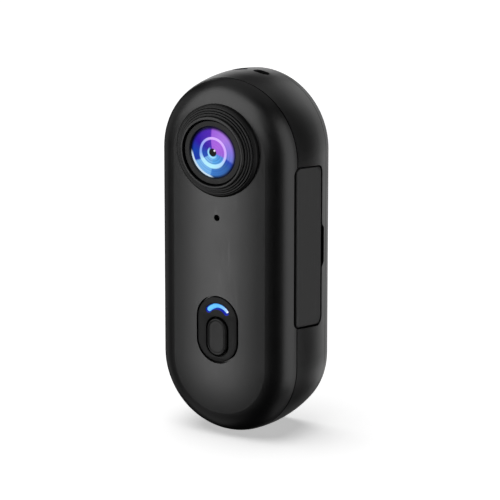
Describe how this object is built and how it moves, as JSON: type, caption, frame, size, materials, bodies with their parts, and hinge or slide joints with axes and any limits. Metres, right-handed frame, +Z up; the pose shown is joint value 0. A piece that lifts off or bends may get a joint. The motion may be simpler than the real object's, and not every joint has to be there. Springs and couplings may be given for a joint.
{
  "type": "action camera",
  "caption": "Pill-shaped wearable action camera with a front lens, a record button with a light, a hinged port door, a lanyard eyelet and a magnetic flat back.",
  "frame": {"origin": "centre of the flat back face", "axes": "+Y out of the back face (the lens looks along -Y), +Z up along the body, +X towards the port door"},
  "size_m": [0.0308, 0.021, 0.0728],
  "materials": {
    "shell": "satin black, fine moulded texture",
    "cover": "satin black",
    "bezel": "satin black, turned steps",
    "ring": "black anodised",
    "plate": "semi-gloss black",
    "button": "satin black",
    "door": "satin black",
    "lens_glass": "multi-coated glass",
    "filter_glass": "coated filter glass",
    "light_window": "lit blue light guide",
    "anodised": "black anodised",
    "inner_plastic": "moulded black",
    "rubber": "silicone",
    "foam": "foam tape",
    "brass": "knurled",
    "steel": "plain",
    "nickel": "nickel plated",
    "circuit_board": "solder mask",
    "chip": "moulded epoxy",
    "connector": "moulded",
    "flex": "polyimide film",
    "sensor": "bonded glass lid",
    "battery_foil": "laminated foil",
    "wire": "insulated wire"
  },
  "bodies": {
    "root": {"front_shell": "shell", "rear_shell": "shell", "back_cover": "cover", "cover_tape": "foam", "housing_gasket": "rubber", "threaded_inserts": "brass", "shell_screws": "steel", "lens_bezel": "bezel", "lens_ring": "ring", "front_lens": "lens_glass", "lens_barrel": "anodised", "lens_element_mid": "lens_glass", "aperture_stop": "anodised", "lens_element_rear": "lens_glass", "lens_o_ring": "rubber", "lens_holder": "inner_plastic", "ir_filter": "filter_glass", "image_sensor": "sensor", "sensor_board": "circuit_board", "holder_screws": "steel", "flex_connector": "connector", "sensor_flex": "flex", "button_plate": "plate", "led_window": "light_window", "led_chip": "connector", "tact_switch": "steel", "microphone": "nickel", "mic_gasket": "rubber", "control_board": "circuit_board", "board_link": "connector", "main_board": "circuit_board", "board_screws": "steel", "processor": "chip", "shield_can": "nickel", "memory_chip": "chip", "power_inductor": "chip", "wifi_antenna": "connector", "usb_socket": "nickel", "usb_tongue": "chip", "card_socket": "nickel", "battery": "battery_foil", "protection_board": "circuit_board", "battery_leads": "wire", "battery_pad": "foam", "back_magnets": "nickel", "door_hinge_pin": "steel"},
    "button": {"record_button": "button", "switch_plunger": "connector"},
    "door": {"port_door": "door", "door_seal": "rubber"},
    "card": {"memory_card": "chip"}
  },
  "joints": [
    {"name": "record_press", "type": "slide", "parent": "root", "child": "button", "axis": [0, 1, 0], "range_m": [0, 0.00035], "stiffness_N_per_m": 1500, "springref_m": -0.0004},
    {"name": "door_hinge", "type": "hinge", "parent": "root", "child": "door", "pos_m": [0.0144, -0.013, 0.003], "axis": [0, 0, -1], "range_deg": [0, 90]},
    {"name": "card_slide", "type": "slide", "parent": "root", "child": "card", "axis": [1, 0, 0], "range_m": [-0.0006, 0.0014]}
  ]
}
